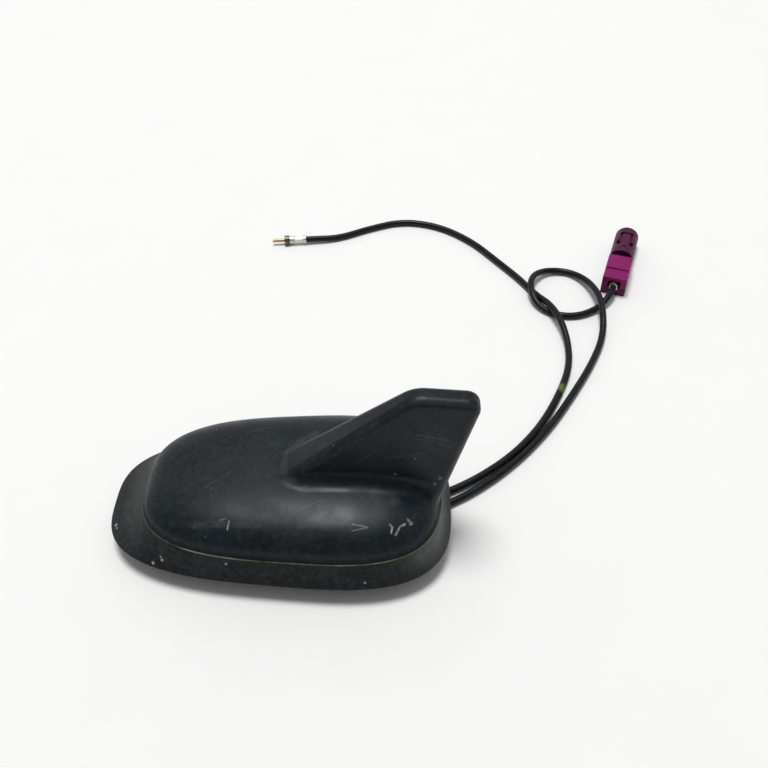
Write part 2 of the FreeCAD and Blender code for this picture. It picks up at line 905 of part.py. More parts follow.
def make_plug_housing():
    middle = "-plug_width / 2"
    barrel_start = "plug_block + plug_waist"
    tray = box("PlugTray", "0", middle, "0", barrel_start, "plug_width", "plug_tray")
    middle_height = size("plug_tray")
    top = size("plug_height") + CLEAR
    tray = rounded("PlugTrayRounded", tray, "plug_edge", lengthwise(-CLEAR, CLEAR))
    waist = box("PlugWaist", "plug_block", middle, "0", "plug_waist", "plug_width", "plug_waist_height")
    waist = rounded("PlugWaistRounded", waist, "plug_edge", lengthwise(-CLEAR, top))
    barrel_length = "plug_length - (%s)" % barrel_start
    barrel = box("PlugBarrel", barrel_start, middle, "0", barrel_length, "plug_width", "plug_height")
    barrel = rounded("PlugBarrelSides", barrel, "plug_edge", lengthwise(-CLEAR, CLEAR))
    barrel = rounded("PlugBarrelCrown", barrel, "plug_crown", lengthwise(middle_height, top))
    barrel = common("PlugBarrelNosed", barrel, make_nose_limit(barrel_start))
    solid = fuse("PlugSolid", tray, waist, barrel)
    socket_start = "plug_length - plug_socket_depth"
    socket = rod("PlugSocket", socket_start, "plug_socket_radius", "plug_socket_depth", "plug_axis")
    bore = rod("PlugBore", "0", "contact_radius + screw_clearance", "plug_length", "plug_axis")
    channel = box(
        "PlugChannel",
        "0",
        "-lock_channel",
        "plug_axis",
        "contact_start",
        "2 * lock_channel",
        "plug_height",
    )
    return cut("PlugHousing", solid, socket, bore, channel, *make_latch_cuts())


def make_plug_lock():
    low = size("plug_tray") + CLEAR
    top = size("lock_height") + CLEAR
    blank = box(
        "LockBlank",
        "0",
        "-plug_width / 2",
        "plug_tray",
        "plug_block",
        "plug_width",
        "lock_height - plug_tray",
    )
    blank = rounded("LockRounded", blank, "plug_edge", lengthwise(low, top))
    step = box(
        "LockStep",
        "0",
        "-plug_width / 2",
        "lock_height - lock_step_drop",
        "plug_block - lock_step",
        "plug_width",
        "lock_step_drop",
    )
    bore = rod("LockBore", "0", "contact_radius + screw_clearance", "plug_block", "plug_axis")
    channel = box(
        "LockChannel",
        "0",
        "-lock_channel",
        "plug_tray",
        "contact_start",
        "2 * lock_channel",
        "lock_channel + plug_axis - plug_tray",
    )
    return cut("PlugLock", blank, step, bore, channel)


def make_plug_contact():
    length = "plug_length - plug_socket_depth + contact_overhang - contact_start"
    return cut(
        "PlugContactBody",
        rod("ContactOutside", "contact_start", "contact_radius", length, "plug_axis"),
        rod("ContactBore", "contact_start", "contact_bore", length, "plug_axis"),
    )


def make_plug_insulator():
    length = "plug_length - plug_socket_depth + contact_overhang - contact_start - insulator_setback"
    return cut(
        "PlugInsulator",
        rod("InsulatorOutside", "contact_start", "contact_bore", length, "plug_axis"),
        rod("InsulatorBore", "contact_start", "centre_radius", length, "plug_axis"),
    )


def make_plug_centre():
    length = "plug_length - plug_socket_depth + contact_overhang - contact_start - insulator_setback / 2"
    return rod("PlugCentreContact", "contact_start", "centre_radius", length, "plug_axis")


def make_plug_ferrule():
    length = "contact_start - ferrule_start"
    collar_start = "contact_start - ferrule_collar"
    collar = rod("FerruleCollar", collar_start, "ferrule_radius", "ferrule_collar", "plug_axis")
    crimp = rod("FerruleCrimp", "ferrule_start", "ferrule_radius", length, "plug_axis", "Part::Prism")
    return fuse("PlugFerrule", collar, crimp)


# Bare terminal of the satellite lead, drawn along X from the end of the lead


def make_terminal():
    ferrule = rod("GpsFerrule", "0", "terminal_ferrule_radius", "terminal_ferrule")
    collar = rod("GpsCollar", "terminal_ferrule", "terminal_collar_radius", "terminal_collar")
    pin = rod("GpsCentrePin", "terminal_ferrule + terminal_collar", "terminal_pin_radius", "terminal_pin")
    return {"gps_ferrule": ferrule, "gps_collar": collar, "gps_centre_pin": pin}


def place_along(thing, points, start):
    """Moves a piece drawn along X so that its point start lies at the end of a lead, in line with it."""
    end = points[-1]
    way = end - points[-2]
    rotation = FreeCAD.Rotation(V(0, 0, 1), math.degrees(math.atan2(way.y, way.x)))
    placed = doc.addObject("Part::Compound", thing.Name + "Placed")
    placed.Links = [thing]
    placed.Placement = FreeCAD.Placement(end - rotation.multVec(start), rotation)
    return placed


phone_points = lead_points(-1, PHONE_ROUTE, PHONE_END, "plug_axis")
gps_points = lead_points(1, GPS_ROUTE, GPS_END, "terminal_collar_radius")
parts = {
    "radome_cover": make_cover(),
    "skirt_gasket": make_skirt(),
    "base_plate": make_base(),
    "roof_seal": make_roof_seal(),
    "cable_gland": make_gland(),
    "main_board": make_main_board(),
    "gps_patch": make_patch(),
    "patch_feed_pin": make_feed_pin(),
    "amplifier_shield": make_shield(),
    "fin_board": make_fin_board(),
    "fin_board_clip": make_clip(),
    "board_screws": group("BoardScrews", make_board_screws()),
    "cover_screws": group("CoverScrews", make_cover_screws()),
    "phone_lead": make_lead("PhoneLead", phone_points),
    "gps_lead": make_lead("GpsLead", gps_points),
}

plug = {
    "plug_housing": make_plug_housing(),
    "plug_lock": make_plug_lock(),
    "plug_contact_body": make_plug_contact(),
    "plug_insulator": make_plug_insulator(),
    "plug_centre_contact": make_plug_centre(),
    "plug_ferrule": make_plug_ferrule(),
}
plug_start = V(size("ferrule_start"), 0, size("plug_axis"))
for label, thing in plug.items():
    parts[label] = place_along(thing, phone_points, plug_start)
for label, thing in make_terminal().items():
    parts[label] = place_along(thing, gps_points, V(0, 0, 0))

# Check every object, then write each sub-part
doc.recompute()
for thing in doc.Objects:
    if "Invalid" in thing.State or "Error" in thing.State:
        raise RuntimeError("%s failed: %s" % (thing.Name, thing.State))
os.makedirs("parts", exist_ok=True)
for label, thing in parts.items():
    thing.Label = label
    shape = thing.Shape
    if shape.isNull() or not shape.isValid() or not shape.Solids:
        raise RuntimeError("%s has no valid solid" % label)
    shape.exportStep("parts/%s.step" % label)
    print("%-20s solids %d volume %.1f" % (label, len(shape.Solids), shape.Volume))
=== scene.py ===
import json
import math

import bmesh
import bpy
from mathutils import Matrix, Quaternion, Vector


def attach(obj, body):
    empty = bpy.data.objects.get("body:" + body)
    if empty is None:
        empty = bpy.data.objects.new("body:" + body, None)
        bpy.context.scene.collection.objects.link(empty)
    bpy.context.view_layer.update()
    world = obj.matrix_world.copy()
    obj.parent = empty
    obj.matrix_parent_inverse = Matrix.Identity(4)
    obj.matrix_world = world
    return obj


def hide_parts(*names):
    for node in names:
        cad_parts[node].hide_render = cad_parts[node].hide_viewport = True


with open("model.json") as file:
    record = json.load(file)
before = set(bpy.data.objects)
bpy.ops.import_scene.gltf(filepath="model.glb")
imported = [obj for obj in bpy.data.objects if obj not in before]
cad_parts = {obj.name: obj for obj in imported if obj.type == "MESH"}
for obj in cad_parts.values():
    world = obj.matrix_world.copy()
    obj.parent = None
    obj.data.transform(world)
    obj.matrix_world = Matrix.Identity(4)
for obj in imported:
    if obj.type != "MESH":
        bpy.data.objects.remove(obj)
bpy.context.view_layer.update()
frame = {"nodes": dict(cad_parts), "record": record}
NODES = frame["nodes"]
MM = 0.001
UP = Vector((0, 0, 1))


def mm(*numbers):
    """A point given in millimetres, in the scene's metres."""
    return Vector(numbers) * MM


# Camera: where the photograph was taken from, in the part's frame

CAMERA_PLACE = mm(42.43, -217.35, 290.21)
CAMERA_LOOK = Vector((-0.02, 0.7104, -0.7035))
CAMERA_ROLL = -0.0097
CAMERA_CLIP = 0.01
IMAGE_SIDE = 768
FOCAL_PIXELS = 900
SENSOR_WIDTH = 36


def make_camera():
    camera = bpy.data.objects.new("camera", bpy.data.cameras.new("camera"))
    bpy.context.scene.collection.objects.link(camera)
    camera.data.sensor_width = SENSOR_WIDTH
    camera.data.lens = FOCAL_PIXELS * SENSOR_WIDTH / IMAGE_SIDE
    camera.data.clip_start = CAMERA_CLIP
    camera.location = CAMERA_PLACE
    camera.rotation_mode = "QUATERNION"
    roll = Quaternion(UP, CAMERA_ROLL)
    camera.rotation_quaternion = CAMERA_LOOK.to_track_quat("-Z", "Y") @ roll
    bpy.context.scene.camera = camera


# Leads: the part's routes in millimetres, some points moved by about 3 mm at most to follow the photo

LEAD_RADIUS = 1.6 * MM
LEAD_ORDER = 3
LEAD_STEPS = 10
LEAD_ROUND_STEPS = 6
PHONE_ROUTE = [
    (15.5, -1.8, 1.7), (31.0, -1.8, 1.7), (47.5, 0.4, 1.7), (63.5, 6.6, 1.7), (78.6, 17.4, 1.7),
    (93.2, 31.3, 1.7), (107.0, 48.6, 1.7), (119.0, 68.0, 1.7), (130.5, 88.5, 1.7), (138.5, 107.0, 1.9),
    (140.4, 122.3, 6.0), (139.8, 136.3, 6.0), (136.2, 150.2, 3.2), (128.2, 158.6, 1.7), (116.4, 158.6, 2.4),
    (108.2, 150.2, 5.3), (106.4, 139.5, 5.3), (109.6, 129.9, 2.2), (117.6, 123.5, 1.7), (128.4, 122.7, 1.7),
    (139.5, 128.5, 2.0), (146.6, 136.5, 5.2), (148.15, 141.2, 5.2),
]
GPS_ROUTE = [
    (15.5, 1.8, 1.7), (31.0, 1.8, 1.7), (47.5, 5.9, 1.7), (63.5, 12.8, 1.7), (78.0, 22.2, 1.7),
    (92.0, 34.8, 1.7), (104.0, 50.8, 1.7), (113.0, 68.3, 1.7), (119.5, 85.0, 1.7), (121.5, 101.0, 1.8),
    (119.2, 115.5, 5.3), (115.0, 127.8, 5.3), (109.6, 138.8, 1.8), (102.6, 151.8, 1.7), (92.0, 166.8, 1.7),
    (79.5, 184.4, 1.7), (62.0, 198.5, 1.7), (42.0, 203.1, 1.7), (23.5, 195.8, 1.7), (8.0, 187.1, 1.7),
    (-4.0, 184.9, 2.5), (-10.4, 184.3, 2.5),
]


def make_lead(name, route, node):
    curve = bpy.data.curves.new(name, "CURVE")
    curve.dimensions = "3D"
    # The radii of the points give the thickness
    curve.bevel_depth = 1.0
    curve.bevel_resolution = LEAD_ROUND_STEPS
    curve.resolution_u = LEAD_STEPS
    curve.use_fill_caps = True
    spline = curve.splines.new("NURBS")
    spline.points.add(len(route) - 1)
    for point, place in zip(spline.points, route):
        point.co = (*mm(*place), 1)
        point.radius = LEAD_RADIUS
    spline.order_u = LEAD_ORDER
    spline.use_endpoint_u = True
    lead = bpy.data.objects.new(name, curve)
    bpy.context.scene.collection.objects.link(lead)
    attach(lead, "root")
    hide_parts(node)
    return lead


def make_leads():
    phone = make_lead("phone_cord", PHONE_ROUTE, "phone_lead")
    gps = make_lead("gps_cord", GPS_ROUTE, "gps_lead")
    return phone, gps


# Crimped sleeve on the end of the GPS lead, and the thread on the stud, in millimetres and degrees

SLEEVE_START = mm(*GPS_ROUTE[-1])
SLEEVE_AXIS = (SLEEVE_START - mm(*GPS_ROUTE[-2])).normalized()
SLEEVE_STEPS = 60
CRIMP_SIDES = 6
CRIMP_FLAT = 1.72
# Place along the sleeve, radius there, and whether the crimp presses it
SLEEVE_RINGS = [
    (0.0, 1.88, False),
    (0.2, 2.08, False),
    (1.5, 2.08, False),
    (1.9, 2.05, True),
    (6.0, 2.05, True),
    (6.4, 2.08, False),
    (7.0, 2.08, False),
    (7.15, 1.9, False),
    (7.55, 1.9, False),
    (7.7, 2.08, False),
    (8.8, 2.08, False),
    (9.0, 1.9, False),
]
STUD_CENTRE_X = 4.0
THREAD_ROOT = 9.95
THREAD_CREST = 10.6
THREAD_ROOT_HALF = 0.6
THREAD_CREST_HALF = 0.08
THREAD_PITCH = 1.6
THREAD_FOOT = 0.85
THREAD_TURNS = 4
THREAD_GAP = 30
THREAD_STEP = 4
THREAD_FADE = 10
FULL_TURN = 360
SHARP_ANGLE = math.radians(32)


def make_piece(name, form):
    mesh = bpy.data.meshes.new(name)
    bmesh.ops.recalc_face_normals(form, faces=form.faces)
    form.to_mesh(mesh)
    form.free()
    mesh.shade_smooth()
    mesh.set_sharp_from_angle(angle=SHARP_ANGLE)
    piece = bpy.data.objects.new(name, mesh)
    bpy.context.scene.collection.objects.link(piece)
    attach(piece, "root")
    return piece


def skin(form, rings):
    """Faces between closed rings that follow each other, and a cap at each end."""
    for ring, after in zip(rings, rings[1:]):
        for index in range(len(ring)):
            other = (index + 1) % len(ring)
            form.faces.new((ring[index], ring[other], after[other], after[index]))
    form.faces.new(rings[0])
    form.faces.new(rings[-1])


def crimped(radius, angle):
    """Reach of a pressed ring at an angle: flats of a hexagon, with the round sleeve left at its corners."""
    sector = math.tau / CRIMP_SIDES
    off_middle = (angle + sector / 2) % sector - sector / 2
    return min(radius, CRIMP_FLAT / math.cos(off_middle))


def make_sleeve():
    form = bmesh.new()
    across = UP.cross(SLEEVE_AXIS)
    rings = []
    for along, radius, pressed in SLEEVE_RINGS:
        ring = []
        for step in range(SLEEVE_STEPS):
            angle = math.tau * step / SLEEVE_STEPS
            reach = crimped(radius, angle) if pressed else radius
            out = across * math.cos(angle) + UP * math.sin(angle)
            ring.append(form.verts.new(SLEEVE_START + (SLEEVE_AXIS * along + out * reach) * MM))
        rings.append(ring)
    skin(form, rings)
    sleeve = make_piece("gps_crimp_sleeve", form)
    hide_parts("gps_ferrule")
    return sleeve


def thread_profile(crest):
    """Reach from the stud's axis and height off the turn's middle, for the four corners of the thread."""
    return [
        (THREAD_ROOT, -THREAD_ROOT_HALF),
        (crest, -THREAD_CREST_HALF),
        (crest, THREAD_CREST_HALF),
        (THREAD_ROOT, THREAD_ROOT_HALF),
    ]


def make_thread():
    """Turns round the stud, each broken at the slot that the leads leave through."""
    form = bmesh.new()
    last = FULL_TURN - THREAD_GAP
    for turn in range(THREAD_TURNS):
        rings = []
        for degrees in range(THREAD_GAP, last + 1, THREAD_STEP):
            angle = math.radians(degrees)
            height = THREAD_FOOT + THREAD_PITCH * (turn + (degrees - THREAD_GAP) / FULL_TURN)
            from_end = min(degrees - THREAD_GAP, last - degrees) + 1
            crest = THREAD_ROOT + (THREAD_CREST - THREAD_ROOT) * min(1, from_end / THREAD_FADE)
            ring = []
            for reach, lift in thread_profile(crest):
                place = mm(STUD_CENTRE_X + reach * math.cos(angle), reach * math.sin(angle), height + lift)
                ring.append(form.verts.new(place))
            rings.append(ring)
        skin(form, rings)
    return make_piece("stud_thread", form)


# Materials

STROKE_CORE = 0.3
SPECK_CORE = 0.5
CHOICE_EDGE = 0.01


class Paint:
    """One procedural material, built with short calls; coordinates are metres in the part's frame."""

    def __init__(self, name, roughness, metallic=0.0, specular=0.5):
        self.material = bpy.data.materials.new(name)
        self.material.use_nodes = True
        self.tree = self.material.node_tree
        self.shader = self.tree.nodes["Principled BSDF"]
        self.shader.inputs["Roughness"].default_value = roughness
        self.shader.inputs["Metallic"].default_value = metallic
        self.shader.inputs["Specular IOR Level"].default_value = specular
        self.place = self.tree.nodes.new("ShaderNodeTexCoord").outputs["Object"]
        self.facing = self.tree.nodes.new("ShaderNodeNewGeometry").outputs["Normal"]

    def node(self, kind, settings=None, **inputs):
        made = self.tree.nodes.new(kind)
        for name, value in (settings or {}).items():
            setattr(made, name, value)
        for name, value in inputs.items():
            self.feed(made.inputs[name], value)
        return made

    def feed(self, socket, value):
        if isinstance(value, bpy.types.NodeSocket):
            self.tree.links.new(value, socket)
        else:
            socket.default_value = value

    def noise(self, scale, detail=4.0, roughness=0.55, place=None):
        made = self.node(
            "ShaderNodeTexNoise",
            Vector=self.place if place is None else place,
            Scale=scale,
            Detail=detail,
            Roughness=roughness,
        )
        return made.outputs["Fac"]

    def stretched(self, turn, stretch):
        """Coordinates turned by angles in degrees and then stretched, for marks that run one way."""
        turned = self.node(
            "ShaderNodeMapping",
            Vector=self.place,
            Rotation=[math.radians(angle) for angle in turn],
            Scale=stretch,
        )
        return turned.outputs["Vector"]

    def ramp(self, value, low, high, bottom=0.0, top=1.0):
        """A value between low and high, spread smoothly over bottom to top."""
        made = self.node("ShaderNodeMapRange", {"interpolation_type": "SMOOTHSTEP"}, Value=value)
        for name, number in (("From Min", low), ("From Max", high), ("To Min", bottom), ("To Max", top)):
            self.feed(made.inputs[name], number)
        return made.outputs["Result"]

    def span(self, value, limits, bottom=0.0, top=1.0):
        """A ramp over a place or a height, between two limits in millimetres."""
        low, high = limits
        return self.ramp(value, low * MM, high * MM, bottom, top)

    def combine(self, operation, first, second=0.0):
        made = self.node("ShaderNodeMath", {"operation": operation})
        self.feed(made.inputs[0], first)
        self.feed(made.inputs[1], second)
        return made.outputs["Value"]

    def times(self, *values):
        result = values[0]
        for value in values[1:]:
            result = self.combine("MULTIPLY", result, value)
        return result

    def most(self, *values):
        result = values[0]
        for value in values[1:]:
            result = self.combine("MAXIMUM", result, value)
        return result

    def part(self, vector, axis):
        return self.node("ShaderNodeSeparateXYZ", Vector=vector).outputs[axis]

    def spot(self, centre, radius, core=0.0):
        """One at a point, falling to zero at a distance."""
        away = self.vector("DISTANCE", self.place, centre, "Value")
        return self.ramp(away, radius, core * radius)

    def vector(self, operation, first, second, output="Vector"):
        made = self.node("ShaderNodeVectorMath", {"operation": operation})
        self.feed(made.inputs[0], first)
        self.feed(made.inputs["Scale"] if operation == "SCALE" else made.inputs[1], second)
        return made.outputs[output]

    def flattened(self, keep):
        """Coordinates with one axis left out, for marks seen straight onto a face."""
        return self.vector("MULTIPLY", self.place, keep)

    def stroke(self, start, end, width, place=None):
        """One along a straight scratch between two points, falling to zero at its width."""
        run = end - start
        away = self.vector("SUBTRACT", self.place if place is None else place, start)
        share = self.vector("DOT_PRODUCT", away, run / run.length_squared, "Value")
        share = self.node("ShaderNodeClamp", Value=share).outputs["Result"]
        off = self.vector("SUBTRACT", away, self.vector("SCALE", run, share))
        return self.ramp(self.vector("LENGTH", off, (0, 0, 0), "Value"), width, STROKE_CORE * width)

    def specks(self, scale, size, share):
        """Small round specks in a share of the cells of a pattern."""
        cells = self.node("ShaderNodeTexVoronoi", Vector=self.place, Scale=scale)
        round_spot = self.ramp(cells.outputs["Distance"], size, SPECK_CORE * size)
        chosen = self.ramp(self.part(cells.outputs["Color"], "X"), 1 - share, 1 - share + CHOICE_EDGE)
        return self.times(round_spot, chosen)

    def blend(self, factor, first, second):
        made = self.node("ShaderNodeMix", {"data_type": "RGBA"})
        self.feed(made.inputs["Factor"], factor)
        colours = [socket for socket in made.inputs if socket.type == "RGBA"]
        for socket, colour in zip(colours, (first, second)):
            self.feed(socket, (*colour, 1.0) if isinstance(colour, tuple) else colour)
        return next(socket for socket in made.outputs if socket.type == "RGBA")

    def bump(self, height, distance, strength, under=None):
        made = self.node("ShaderNodeBump", Height=height, Distance=distance, Strength=strength)
        if under is not None:
            self.feed(made.inputs["Normal"], under)
        return made.outputs["Normal"]

    def done(self, colour, normal=None, roughness=None):
        self.feed(self.shader.inputs["Base Color"], colour)
        if roughness is not None:
            self.feed(self.shader.inputs["Roughness"], roughness)
        if normal is not None:
            self.feed(self.shader.inputs["Normal"], normal)
        return self.material


# Wear on the cover and the skirt, and painted highlights on the dome's shoulder and the fin's root, mostly as
# the photograph shows it, in millimetres

# Start and end in plan, width, and strength; the scuffs with their painted highlight have the same columns
DOME_SCRATCHES = [
    ((38.5, -24.0), (39.5, -24.8), 0.42, 0.5),
    ((39.5, -24.8), (39.1, -26.7), 0.45, 0.7),
    ((40.7, -27.1), (42.2, -24.3), 0.5, 0.5),
    ((42.2, -24.3), (44.0, -23.0), 0.5, 0.6),
    ((45.0, -21.1), (46.6, -22.2), 0.6, 0.32),
    ((46.6, -22.2), (45.8, -22.7), 0.5, 0.42),
    ((45.0, -21.1), (45.2, -22.0), 0.5, 0.36),
    ((25.2, -25.0), (30.6, -25.9), 0.34, 0.28),
    ((25.2, -27.3), (30.6, -25.9), 0.32, 0.24),
    ((28.0, -25.1), (30.8, -25.8), 0.32, 0.24),
    ((-19.5, -26.6), (-19.1, -24.0), 0.45, 0.5),
    ((-22.4, -23.4), (-20.2, -23.0), 0.4, 0.2),
    ((6.0, -20.0), (13.5, -16.0), 0.3, 0.07),
    ((-30.0, -10.0), (-21.0, -3.0), 0.3, 0.05),
    ((-44.0, 3.0), (-36.0, 8.5), 0.3, 0.05),
    ((18.0, 21.0), (27.0, 24.5), 0.3, 0.1),
    ((-18.0, 17.0), (-9.0, 20.5), 0.3, 0.08),
]
# Pale strips, mostly along the dome's near shoulder: a painted highlight, with some real wear
DOME_SCUFFS_AND_HIGHLIGHT = [
    ((-41.3, -22.9), (-31.6, -24.3), 1.3, 0.1),
    ((-31.6, -24.3), (-21.5, -25.0), 1.8, 0.2),
    ((-21.5, -25.0), (-8.0, -25.6), 1.5, 0.1),
    ((6.6, -25.0), (24.5, -25.8), 2.2, 0.14),
    ((33.0, -12.8), (40.0, -14.6), 3.4, 0.16),
]
# Centre and radius
FIN_SPOTS = [
    ((54.9, -7.6, 31.0), 1.0),
    ((56.7, -7.3, 34.1), 1.3),
    ((40.2, -7.2, 35.9), 0.8),
    ((47.5, -6.6, 44.0), 0.8),
]
# Start and end seen from the side, width, and strength
FIN_SCRATCHES = [
    ((48.0, 55.5), (58.5, 53.0), 0.5, 0.08),
    ((47.0, 53.6), (54.5, 52.2), 0.4, 0.05),
    ((55.5, 51.0), (60.5, 49.6), 0.5, 0.06),
    ((38.0, 44.0), (50.0, 46.6), 0.4, 0.05),
    ((26.0, 41.0), (33.0, 47.0), 0.3, 0.05),
]
# Points along the blend at the fin's front, where pale wear and a painted highlight run
ROOT_WEAR_AND_HIGHLIGHT = [
    (9.0, 16.0, 31.2),
    (0.7, 8.8, 32.0),
    (-1.6, 2.6, 32.8),
    (-1.1, -2.3, 32.8),
    (0.4, -7.0, 32.7),
    (6.5, -11.4, 31.9),
]
ROOT_WEAR_AND_HIGHLIGHT_WIDTH = 2.8
# Centre, radius, and strength
HAZES = [
    ((20.5, -17.0, 31.2), 12.0, 0.2),
    ((38.5, -13.4, 30.3), 7.0, 0.3),
    ((54.0, -5.7, 54.0), 13.0, 0.5),
    ((49.2, -6.6, 43.2), 9.0, 0.3),
    ((30.0, -7.5, 42.0), 11.0, 0.2),
    ((-2.0, 10.0, 32.0), 13.0, 0.2),
    ((55.6, -8.0, 33.0), 6.0, 0.24),
]
# Centre and radius
SKIRT_SPECKS = [
    ((29.8, -37.2, 10.6), 0.7),
    ((-45.4, -29.0, 11.2), 0.9),
    ((-45.8, -28.0, 12.0), 0.7),
    ((-49.1, -29.0, 9.2), 0.9),
    ((-20.5, -33.3, 15.6), 0.8),
    ((-66.9, -11.9, 9.0), 0.9),
    ((-66.2, -13.4, 8.9), 0.7),
]

# Cover

COVER_DARK = (0.0018, 0.0046, 0.0074)
COVER_LIGHT = (0.0042, 0.0090, 0.0132)
COVER_DUST = (0.054, 0.074, 0.089)
# Pale colour of the wear, and of the painted highlights on the shoulder and the fin's root
COVER_WORN_AND_HIGHLIGHT = (0.14, 0.165, 0.185)
SCRATCH = (0.42, 0.44, 0.43)
# Heights and places between which an effect sets in or fades, in millimetres
FILM_HEIGHTS = (36.0, 58.0)
FIN_HEIGHTS = (34.0, 38.0)
FOOT_HEIGHTS = (24.0, 19.5)
NEAR_SIDE = (-3.0, -4.0)
# How much of the colour below each effect covers
FILM_SHARE = 0.08
COVER_MOTTLE = 0.22
STREAK_SHARE = 0.08
ROOT_WEAR_AND_HIGHLIGHT_SHARE = 0.16
EDGE_SHARE = 0.05
FIN_SPOT_SHARE = 0.4
FINE_SHARE = 0.08
COVER_SPECKS = 0.22
# Depths of the bumps
COVER_GRAIN = 0.03 * MM
SCRATCH_DEPTH = 0.05 * MM


def mottle(paint, share):
    """Fine uneven dirt, as on old rubber and plastic."""
    return paint.times(paint.ramp(paint.noise(430, 9, 0.8), 0.42, 0.7), share)


def cover_film(paint):
    """Dust on what faces up, thinner high on the fin, and the hazes."""
    up = paint.ramp(paint.part(paint.facing, "Z"), 0.25, 0.98)
    cloud = paint.ramp(paint.noise(75, 9, 0.68), 0.34, 0.78)
    low = paint.span(paint.part(paint.place, "Z"), FILM_HEIGHTS, 1.0, 0.35)
    film = paint.times(up, cloud, low, FILM_SHARE)
    for centre, radius, strength in HAZES:
        film = paint.most(film, paint.times(paint.spot(mm(*centre), radius * MM), cloud, strength))
    return film


def cover_streaks(paint):
    place = paint.stretched((0, 0, 24), (14, 150, 60))
    return paint.times(paint.ramp(paint.noise(9, 5, 0.6, place), 0.58, 0.8), STREAK_SHARE)


def cover_wear_and_highlight(paint, dome_place):
    """Pale wear along the fin's root and on the dome's near shoulder, each partly a painted highlight."""
    wear_and_highlight = 0.0
    for start, end in zip(ROOT_WEAR_AND_HIGHLIGHT, ROOT_WEAR_AND_HIGHLIGHT[1:]):
        wear_and_highlight = paint.most(wear_and_highlight, paint.stroke(mm(*start), mm(*end), ROOT_WEAR_AND_HIGHLIGHT_WIDTH * MM))
    wear_and_highlight = paint.times(wear_and_highlight, ROOT_WEAR_AND_HIGHLIGHT_SHARE)
    for start, end, width, strength in DOME_SCUFFS_AND_HIGHLIGHT:
        stroke = paint.stroke(mm(*start, 0), mm(*end, 0), width * MM, dome_place)
        wear_and_highlight = paint.most(wear_and_highlight, paint.times(stroke, strength))
    return paint.times(wear_and_highlight, paint.ramp(paint.noise(240, 6, 0.65), 0.25, 0.7))


def cover_edges(paint):
    """Soft wear where the fin's sides round over."""
    across = paint.combine("ABSOLUTE", paint.part(paint.facing, "Y"))
    rounded = paint.times(paint.ramp(across, 0.3, 0.55), paint.ramp(across, 0.92, 0.75))
    on_fin = paint.span(paint.part(paint.place, "Z"), FIN_HEIGHTS)
    return paint.times(rounded, on_fin, paint.ramp(paint.noise(120, 6, 0.6), 0.3, 0.75), EDGE_SHARE)


def cover_scratches(paint, dome_place):
    """Single scratches and spots on the dome and on the fin's near side."""
    marks = 0.0
    for start, end, width, strength in DOME_SCRATCHES:
        stroke = paint.stroke(mm(*start, 0), mm(*end, 0), width * MM, dome_place)
        marks = paint.most(marks, paint.times(stroke, strength))
    fin_place = paint.flattened((1, 0, 1))
    near_side = paint.span(paint.part(paint.place, "Y"), NEAR_SIDE)
    for (x, z), (end_x, end_z), width, strength in FIN_SCRATCHES:
        stroke = paint.stroke(mm(x, 0, z), mm(end_x, 0, end_z), width * MM, fin_place)
        marks = paint.most(marks, paint.times(stroke, near_side, strength))
    for centre, radius in FIN_SPOTS:
        marks = paint.most(marks, paint.times(paint.spot(mm(*centre), radius * MM), FIN_SPOT_SHARE))
    return paint.times(marks, paint.ramp(paint.noise(900, 3), 0.26, 0.5))


def fine_scratches(paint):
    """Hairlines that run one way, in patches."""
    place = paint.stretched((0, 0, -38), (8, 420, 120))
    lines = paint.ramp(paint.noise(6, 3, 0.5, place), 0.68, 0.73)
    return paint.times(lines, paint.ramp(paint.noise(40, 2), 0.5, 0.65), FINE_SHARE)


def cover_paint():
    paint = Paint("cover_plastic", 0.42, specular=0.24)
    dome_place = paint.flattened((1, 1, 0))
    tone = paint.ramp(paint.noise(28, 6, 0.6), 0.32, 0.68)
    colour = paint.blend(tone, COVER_DARK, COVER_LIGHT)
    for dust in (cover_film(paint), mottle(paint, COVER_MOTTLE), cover_streaks(paint)):
        colour = paint.blend(dust, colour, COVER_DUST)
    # Pale wear at the fin's root and along the near shoulder, partly a painted highlight
    colour = paint.blend(cover_wear_and_highlight(paint, dome_place), colour, COVER_WORN_AND_HIGHLIGHT)
    colour = paint.blend(cover_edges(paint), colour, SCRATCH)
    specks = paint.times(paint.specks(330, 0.14, 0.06), COVER_SPECKS)
    marks = paint.most(cover_scratches(paint, dome_place), fine_scratches(paint), specks)
    colour = paint.blend(marks, colour, SCRATCH)
    grain = paint.bump(paint.noise(2600, 3), COVER_GRAIN, 0.45)
    normal = paint.bump(marks, SCRATCH_DEPTH, 0.6, grain)
    roughness = paint.ramp(paint.noise(60, 6, 0.6), 0.3, 0.75, 0.34, 0.5)
    foot = paint.span(paint.part(paint.place, "Z"), FOOT_HEIGHTS, 0.0, 0.85)
    return paint.done(colour, normal, paint.most(roughness, foot))


# Skirt

SKIRT_DARK = (0.0030, 0.0048, 0.0064)
SKIRT_LIGHT = (0.0072, 0.0102, 0.0126)
SKIRT_DUST = (0.17, 0.185, 0.175)
SEAM_DIRT = (0.085, 0.092, 0.04)
SEAM_PALE = (0.22, 0.225, 0.17)
# Places and heights between which the dust and the seam's dirt set in or fade, in millimetres
TAIL = (38.0, 59.0)
NOSE = (-44.0, -64.0)
DUST_HEIGHTS = (8.5, 16.5)
SEAM_FRONT = (-60.0, -42.0)
LEDGE_HEIGHTS = (18.1, 18.45)
BAND_HEIGHTS = (15.5, 18.3)
# How much of the colour below each effect covers, and the solid middle of a speck
NOSE_SHARE = 0.34
CLOUD_SHARE = 0.07
SKIRT_MOTTLE = 0.14
BAND_SHARE = 0.5
STRAY_SPECKS = 0.5
SPECK_SHARE = 0.75
SKIRT_SPECK_CORE = 0.2
# Depth of the bumps
SKIRT_GRAIN = 0.05 * MM


